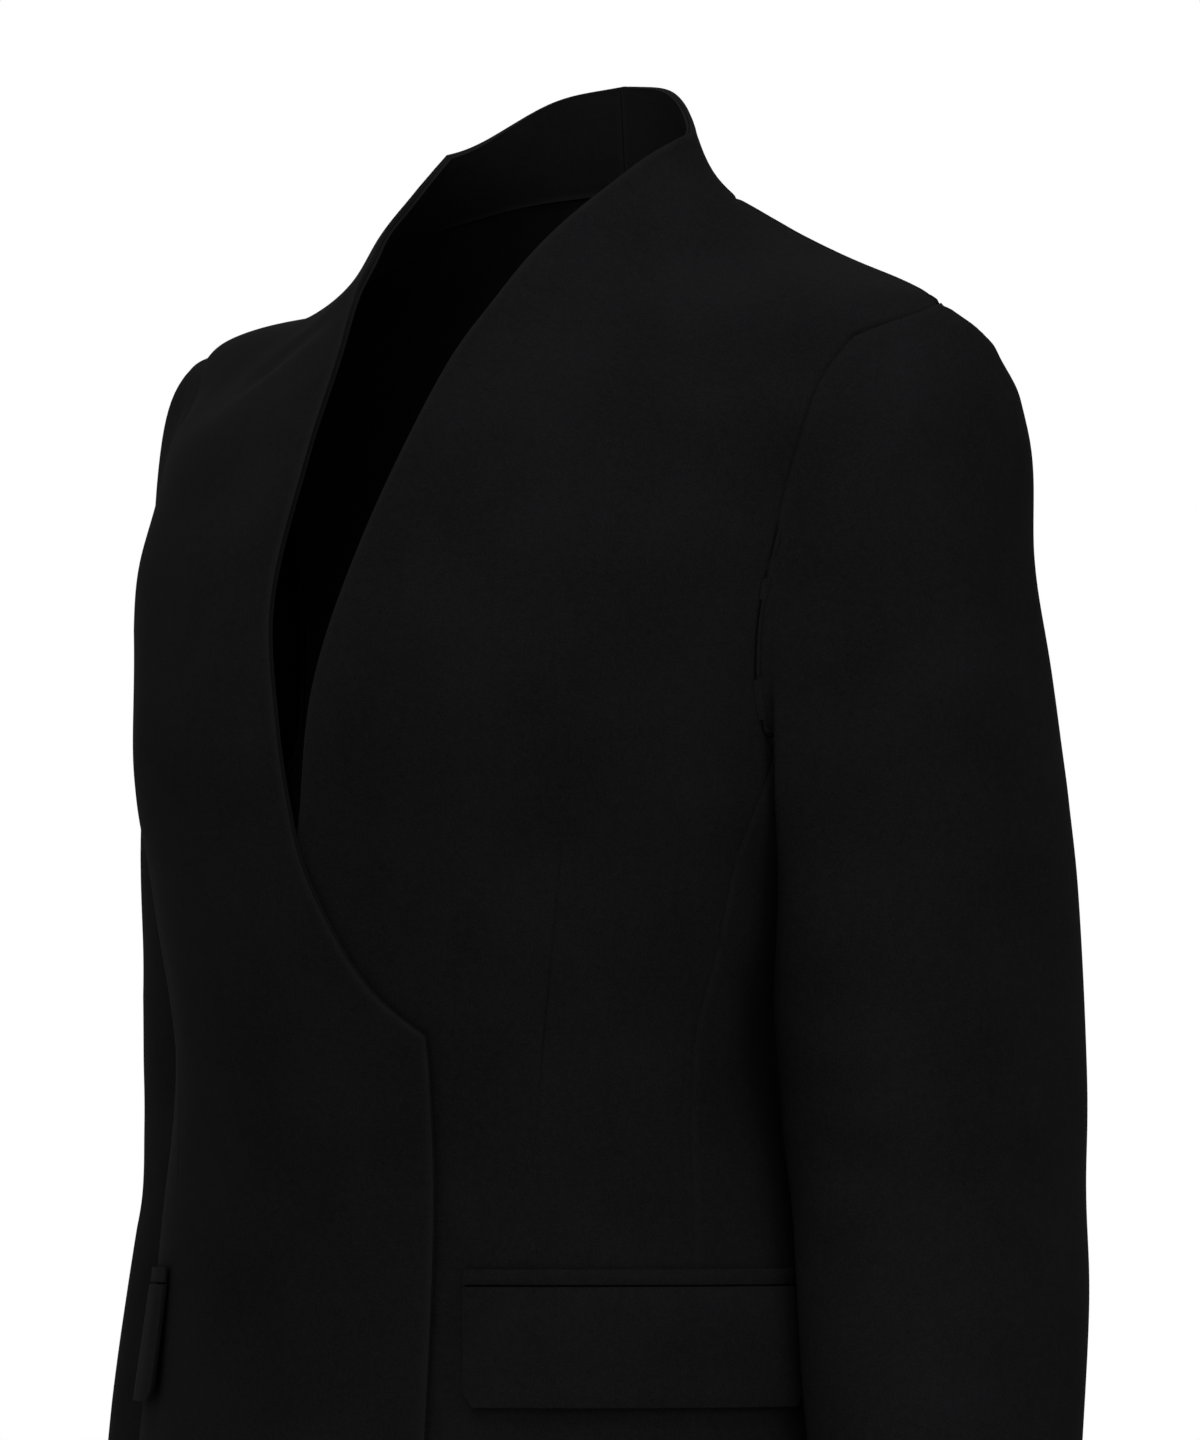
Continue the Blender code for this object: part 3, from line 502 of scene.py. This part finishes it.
def make_crepe_surface():
    """The crepe's surface: a dry pebbled grain of twisted yarns, slow changes of shade, and pressed edges
    that are less rough and carry a painted sheen, a lighter colour.
    """
    group = bpy.data.node_groups.new("crepe_surface", "ShaderNodeTree")
    group.interface.new_socket("Place", in_out="INPUT", socket_type="NodeSocketVector")
    group.interface.new_socket("Press_and_painted_sheen", in_out="INPUT", socket_type="NodeSocketFloat")
    group.interface.new_socket("Dark", in_out="INPUT", socket_type="NodeSocketColor")
    group.interface.new_socket("Light", in_out="INPUT", socket_type="NodeSocketColor")
    group.interface.new_socket("Painted_sheen", in_out="INPUT", socket_type="NodeSocketColor")
    group.interface.new_socket("Colour", in_out="OUTPUT", socket_type="NodeSocketColor")
    group.interface.new_socket("Roughness", in_out="OUTPUT", socket_type="NodeSocketFloat")
    group.interface.new_socket("Height", in_out="OUTPUT", socket_type="NodeSocketFloat")
    nodes, links = group.nodes, group.links
    given = nodes.new("NodeGroupInput")
    made = nodes.new("NodeGroupOutput")

    def noise(kind):
        scale, detail = kind
        texture = nodes.new("ShaderNodeTexNoise")
        texture.inputs["Scale"].default_value = scale
        texture.inputs["Detail"].default_value = detail
        links.new(given.outputs["Place"], texture.inputs["Vector"])
        return texture.outputs["Fac"]

    def blend(first, second, share):
        """The first value plus this share of the second one."""
        sum_of_both = nodes.new("ShaderNodeMath")
        sum_of_both.operation = "MULTIPLY_ADD"
        sum_of_both.inputs[1].default_value = share
        links.new(second, sum_of_both.inputs[0])
        links.new(first, sum_of_both.inputs[2])
        return sum_of_both.outputs[0]

    grain, slub, shade = noise(GRAIN), noise(SLUB), noise(SHADE)
    links.new(blend(grain, slub, SLUB_IN_HEIGHT), made.inputs["Height"])
    tone = nodes.new("ShaderNodeMapRange")
    tone.inputs["From Min"].default_value = DARKEST_TONE
    tone.inputs["From Max"].default_value = LIGHTEST_TONE
    links.new(blend(blend(grain, shade, SHADE_IN_TONE), slub, SLUB_IN_TONE), tone.inputs["Value"])
    colour = nodes.new("ShaderNodeMix")
    colour.data_type = "RGBA"
    links.new(tone.outputs["Result"], colour.inputs["Factor"])
    links.new(given.outputs["Dark"], colour.inputs["A"])
    links.new(given.outputs["Light"], colour.inputs["B"])
    # Painted sheen: along the pressed edges the colour is mixed towards a lighter one, a painted highlight.
    painted_sheen_mix = nodes.new("ShaderNodeMix")
    painted_sheen_mix.data_type = "RGBA"
    links.new(given.outputs["Press_and_painted_sheen"], painted_sheen_mix.inputs["Factor"])
    links.new(colour.outputs["Result"], painted_sheen_mix.inputs["A"])
    links.new(given.outputs["Painted_sheen"], painted_sheen_mix.inputs["B"])
    links.new(painted_sheen_mix.outputs["Result"], made.inputs["Colour"])
    rough = nodes.new("ShaderNodeMapRange")
    rough.inputs["To Min"].default_value = LEAST_ROUGH
    rough.inputs["To Max"].default_value = MOST_ROUGH
    links.new(grain, rough.inputs["Value"])
    smoothed = blend(rough.outputs["Result"], given.outputs["Press_and_painted_sheen"], PRESSED_ROUGHNESS)
    links.new(smoothed, made.inputs["Roughness"])
    return group


crepe_surface = make_crepe_surface()
CREPE_GLOSS = 0.03
GRAIN_STRENGTH = 0.6


def crepe_cloth(name, dark, light, painted_sheen, grain_depth):
    """A cloth with the crepe's surface. Its colours are its hollows, its threads, and a painted sheen along
    its pressed edges.
    """
    cloth = bpy.data.materials.new(name)
    cloth.use_nodes = True
    nodes, links = cloth.node_tree.nodes, cloth.node_tree.links
    shader = nodes["Principled BSDF"]
    shader.inputs["Specular IOR Level"].default_value = CREPE_GLOSS
    place = nodes.new("ShaderNodeTexCoord")
    press_and_sheen_attribute = nodes.new("ShaderNodeAttribute")
    press_and_sheen_attribute.attribute_name = "pressed_edge_painted_sheen"
    surface = nodes.new("ShaderNodeGroup")
    surface.node_tree = crepe_surface
    surface.inputs["Dark"].default_value = (*dark, 1.0)
    surface.inputs["Light"].default_value = (*light, 1.0)
    surface.inputs["Painted_sheen"].default_value = (*painted_sheen, 1.0)
    links.new(place.outputs["Object"], surface.inputs["Place"])
    links.new(press_and_sheen_attribute.outputs["Fac"], surface.inputs["Press_and_painted_sheen"])
    links.new(surface.outputs["Colour"], shader.inputs["Base Color"])
    links.new(surface.outputs["Roughness"], shader.inputs["Roughness"])
    bump = nodes.new("ShaderNodeBump")
    bump.inputs["Strength"].default_value = GRAIN_STRENGTH
    bump.inputs["Distance"].default_value = grain_depth * MM
    links.new(surface.outputs["Height"], bump.inputs["Height"])
    links.new(bump.outputs["Normal"], shader.inputs["Normal"])
    return cloth


black_crepe = crepe_cloth(
    "black_crepe_cloth",
    dark=(0.0034, 0.0034, 0.0038),
    light=(0.0080, 0.0080, 0.0088),
    # the lightest colour is a painted sheen along the pressed edges
    painted_sheen=(0.0100, 0.0100, 0.0108),
    grain_depth=0.16,
)


def dress(piece, node, cloth):
    """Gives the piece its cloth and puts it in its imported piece's place."""
    piece.data.materials.append(cloth)
    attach(piece, "root")
    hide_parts(node)


left_front = cut_out("front_left", "left_front")
crease(
    left_front,
    (
        # start, end, half width, depth
        ((132, -19, -75), (139, -67, -161), 16, 1.0),
        ((93, -11, -48), (111, -86, -161), 14, 0.6),
        ((150, -50, -190), (117, -93, -236), 13, 0.7),
        ((77, -116, -235), (30, -117, -318), 12, 0.4),
        ((120, -80, -470), (100, -104, -590), 16, 0.9),
    ),
)
sew_dart(left_front, (114.7, -88.2, -272.5), (95.5, -85.6, -416.7))
press_and_sew(left_front, "front_left")
give_wall(left_front, SHELL_WALL)
dress(left_front, "front_left", black_crepe)

# Right front: the same piece for the other side. Its long curved edge wraps over the left front and lies on
# top of it to twice the lap, with nothing to fasten it. A slack fold runs from the neck to the armhole.
right_front = cut_out("front_right", "right_front")
crease(
    right_front,
    (
        # start, end, half width, depth
        ((-41, -41, -42), (-113, -29, -77), 9, 1.4),
        ((-60, -62, -80), (-118, -50, -118), 12, 0.6),
        ((-141, -62, -176), (-110, -92, -236), 14, 0.8),
        ((-76, -110, -189), (-92, -104, -262), 15, 0.5),
        ((-122, -78, -470), (-100, -104, -600), 17, 0.8),
    ),
)
sew_dart(right_front, (-114.7, -88.2, -272.5), (-95.5, -85.6, -416.7))
press_and_sew(right_front, "front_right")
give_wall(right_front, SHELL_WALL)
dress(right_front, "front_right", black_crepe)

# Side panels: a narrow piece of crepe under each arm, between the front and the back. Its two curved seams
# take in the waist, and it has no seam of its own down the side.
for side, sign in (("left", 1), ("right", -1)):
    side_panel = cut_out("side_" + side, side + "_side_panel")
    crease(
        side_panel,
        (
            ((sign * 148, -18, -320), (sign * 140, 22, -352), 9, 0.7),
            ((sign * 150, -12, -372), (sign * 141, 18, -366), 8, 0.5),
        ),
    )
    press_and_sew(side_panel, "side_" + side)
    give_wall(side_panel, SHELL_WALL)
    dress(side_panel, "side_" + side, black_crepe)

# Backs: two pieces of crepe seamed down the centre, curved over the shoulder blades and in at the waist.
# They hang a little slack beside the armholes and across the small of the back.
for side, sign, slack in (("left", 1, 1.0), ("right", -1, 0.75)):
    back = cut_out("back_" + side, side + "_back")
    crease(
        back,
        (
            # start, end, half width, depth
            ((sign * 160, 84, -96), (sign * 148, 88, -205), 14, 1.1 * slack),
            ((sign * 40, 98, -300), (sign * 118, 62, -332), 11, 0.9 * slack),
            ((sign * 30, 92, -352), (sign * 110, 60, -372), 9, 0.7),
            ((sign * 70, 112, -470), (sign * 92, 108, -600), 18, 1.1 * slack),
        ),
    )
    press_and_sew(back, "back_" + side)
    give_wall(back, SHELL_WALL)
    dress(back, "back_" + side, black_crepe)

# Facings: a second layer of the same crepe inside each front edge and round the neck, sewn along the edge
# and turned in, so that the inside of the neck is as finished as the outside. Its grain is a little
# flatter.
FACING_WALL = 1.2
black_facing = crepe_cloth(
    "black_facing_cloth",
    dark=(0.0042, 0.0042, 0.0046),
    light=(0.0078, 0.0078, 0.0086),
    # the lightest colour is a painted sheen along the pressed edges
    painted_sheen=(0.0098, 0.0098, 0.0106),
    grain_depth=0.12,
)
for side in ("left", "right"):
    facing = cut_out("facing_" + side, side + "_facing")
    press_and_sew(facing, "facing_" + side, turned_in=0.25)
    give_wall(facing, FACING_WALL)
    dress(facing, "facing_" + side, black_facing)

# Under sleeves: the narrow inner piece of each sleeve, from the bottom of the armhole down the inside of
# the arm. It is sewn to the top sleeve along the front and the hind arm, and creases inside the elbow.
UNDER_FINE = 2
for side, sign in (("left", 1), ("right", -1)):
    under_sleeve = cut_out("sleeve_under_" + side, side + "_under_sleeve", UNDER_FINE)
    crease(
        under_sleeve,
        (
            ((sign * 150, 34, -398), (sign * 146, 88, -390), 11, 1.3),
            ((sign * 150, 30, -425), (sign * 146, 84, -432), 10, 0.9),
            ((sign * 158, 40, -520), (sign * 162, 80, -500), 13, 0.8),
        ),
    )
    press_and_sew(under_sleeve, "sleeve_under_" + side, sunk=0.1)
    give_wall(under_sleeve, SHELL_WALL)
    dress(under_sleeve, "sleeve_under_" + side, black_crepe)

# Top sleeves: the wide outer piece of each sleeve, eased into the armhole so that its head stands up in a
# soft roll beside the seam. It hangs slack below the head and folds in front of the elbow.
TOP_SLEEVE_FOLDS = {
    "left": (
        # start, end, half width, depth
        ((180, -16, -165), (207, 12, -190), 13, 0.9),
        ((176, -2, -384), (207, 14, -372), 9, 1.0),
        ((174, 2, -408), (210, 18, -416), 10, 1.5),
        ((234, 58, -396), (212, 22, -442), 12, 0.9),
        ((198, -6, -250), (214, 22, -330), 15, 0.8),
        ((236, 70, -150), (238, 74, -250), 18, 1.0),
        ((178, -4, -520), (206, 4, -552), 12, 0.9),
        ((216, 100, -380), (232, 76, -430), 12, 1.2),
    ),
    "right": (
        ((-182, -18, -150), (-208, 10, -178), 14, 0.8),
        ((-174, 0, -392), (-208, 16, -382), 10, 1.2),
        ((-174, 2, -420), (-210, 18, -428), 9, 1.0),
        ((-234, 58, -402), (-212, 22, -436), 13, 0.8),
        ((-200, -4, -270), (-216, 24, -335), 14, 0.7),
        ((-236, 70, -160), (-238, 74, -262), 17, 1.1),
        ((-178, -4, -500), (-204, 4, -536), 12, 1.0),
        ((-216, 100, -390), (-232, 76, -438), 11, 1.0),
    ),
}
for side, folds in TOP_SLEEVE_FOLDS.items():
    top_sleeve = cut_out("sleeve_top_" + side, side + "_top_sleeve")
    crease(top_sleeve, folds)
    press_and_sew(top_sleeve, "sleeve_top_" + side, roped=0.8, sunk=0.1)
    give_wall(top_sleeve, SHELL_WALL)
    dress(top_sleeve, "sleeve_top_" + side, black_crepe)

# Pocket jets: a narrow folded strip of the crepe above each pocket's opening, sewn flat to the front. Its
# edges are folds, so they are round.
ROUND_FOLD = 0.35
FOLD_TURN = math.radians(45.0)


def fold_up(node, name):
    """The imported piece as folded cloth: its edges are rounded a little."""
    shape = bmesh.new()
    shape.from_mesh(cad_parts[node].data)
    bmesh.ops.remove_doubles(shape, verts=shape.verts, dist=SAME_PLACE)
    data = bpy.data.meshes.new(name)
    shape.to_mesh(data)
    shape.free()
    piece = bpy.data.objects.new(name, data)
    bpy.context.scene.collection.objects.link(piece)
    modifier = piece.modifiers.new("round_folds", "BEVEL")
    modifier.width = ROUND_FOLD * MM
    modifier.segments = 2
    modifier.limit_method = "ANGLE"
    modifier.angle_limit = FOLD_TURN
    finish_modifier(piece, modifier)
    pick_only(piece)
    bpy.ops.object.shade_smooth_by_angle(angle=SMOOTH_TURN)
    return piece


for side in ("left", "right"):
    jet = fold_up("jet_" + side, side + "_jet")
    dress(jet, "jet_" + side, black_crepe)

# Pocket flaps: two layers of crepe turned out and pressed, hung from the opening under the jet, with both
# lower corners taken off. Each stands a little off the front at its lower edge.
for side in ("left", "right"):
    flap = fold_up("flap_" + side, side + "_flap")
    dress(flap, "flap_" + side, black_crepe)
